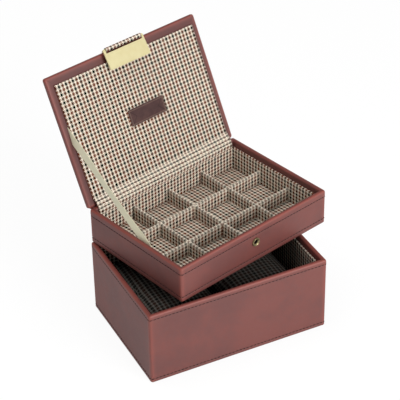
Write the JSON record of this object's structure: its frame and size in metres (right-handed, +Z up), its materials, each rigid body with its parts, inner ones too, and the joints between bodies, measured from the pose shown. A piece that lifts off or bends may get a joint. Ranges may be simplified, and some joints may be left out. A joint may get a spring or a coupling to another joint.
{
  "type": "stacking cufflink box",
  "caption": "Two stacking leather-covered boxes lined in check cloth: a lidded cufflink tray with compartments over a deep watch box.",
  "frame": {"origin": "middle of the lower box's underside, on the table", "axes": "+X along the lower box's length, +Y towards its back, +Z up; the tray on top is turned 15.4 degrees about +Z"},
  "size_m": [0.222, 0.232, 0.233],
  "materials": {
    "cover_leather": "reddish brown smooth leather, lighter and more orange where the edges are rubbed",
    "patch_leather": "dark brown leather with a pressed border",
    "board": "bare pressed fibreboard, hidden",
    "felt": "dark brown felt underside",
    "check_cloth": "small gun-club check wool cloth, cream with dark green and rust",
    "brass": "pale gold satin brass",
    "socket_metal": "darkened sprung socket",
    "ribbon": "pale cream green satin ribbon"
  },
  "bodies": {
    "base_box": {"base_felt": "felt", "base_floor_board": "board", "base_floor_pad": "check_cloth", "base_leather_back": "cover_leather", "base_leather_front": "cover_leather", "base_leather_left": "cover_leather", "base_leather_right": "cover_leather", "base_lining_back": "check_cloth", "base_lining_front": "check_cloth", "base_lining_left": "check_cloth", "base_lining_right": "check_cloth", "base_wall_back": "board", "base_wall_front": "board", "base_wall_left": "board", "base_wall_right": "board"},
    "tray": {"hinge_cloth": "check_cloth", "hinge_leather": "cover_leather", "stay_ribbon": "ribbon", "tray_cross_divider_1": "check_cloth", "tray_cross_divider_2": "check_cloth", "tray_cross_divider_3": "check_cloth", "tray_felt": "felt", "tray_floor_board": "board", "tray_floor_pad": "check_cloth", "tray_leather_back": "cover_leather", "tray_leather_front": "cover_leather", "tray_leather_left": "cover_leather", "tray_leather_right": "cover_leather", "tray_lining_back": "check_cloth", "tray_lining_front": "check_cloth", "tray_lining_left": "check_cloth", "tray_lining_right": "check_cloth", "tray_long_divider_1": "check_cloth", "tray_long_divider_2": "check_cloth", "tray_snap_cup": "socket_metal", "tray_snap_ring": "brass", "tray_wall_back": "board", "tray_wall_front": "board", "tray_wall_left": "board", "tray_wall_right": "board"},
    "lid": {"lid_board": "board", "lid_leather": "cover_leather", "lid_panel_board": "board", "lid_panel_cushion": "check_cloth", "lid_patch": "patch_leather", "strap_tail": "check_cloth"},
    "tab_strap": {"strap_loop": "check_cloth"},
    "tab": {"snap_stud": "brass", "tab_plate": "brass"},
    "pillow_left": {"left_pillow": "check_cloth"},
    "pillow_right": {"right_pillow": "check_cloth"}
  },
  "joints": [
    {"name": "tray_lift", "type": "slide", "parent": "base_box", "child": "tray", "axis": [0, 0, 1], "range_m": [0, 0.08]},
    {"name": "lid_hinge", "type": "hinge", "parent": "tray", "child": "lid", "pos_m": [-0.00233, 0.088, 0.1122], "axis": [0.9641, 0.2656, 0], "range_deg": [0, 115.6], "deforming": ["hinge_cloth", "hinge_leather", "stay_ribbon"]},
    {"name": "strap_bend", "type": "hinge", "parent": "lid", "child": "tab_strap", "pos_m": [-0.01673, 0.14026, 0.2295], "axis": [-0.9641, -0.2656, 0], "range_deg": [0, 80.8]},
    {"name": "tab_swing", "type": "hinge", "parent": "tab_strap", "child": "tab", "pos_m": [-0.01621, 0.13839, 0.23109], "axis": [-0.9641, -0.2656, 0], "range_deg": [-4, 110]},
    {"name": "left_pillow_lift", "type": "slide", "parent": "base_box", "child": "pillow_left", "axis": [0, 0, 1], "range_m": [0, 0.016]},
    {"name": "right_pillow_lift", "type": "slide", "parent": "base_box", "child": "pillow_right", "axis": [0, 0, 1], "range_m": [0, 0.016]}
  ],
  "couplings": [
    {"joint": "strap_bend", "follows": "lid_hinge", "ratio": 0.69896}
  ]
}
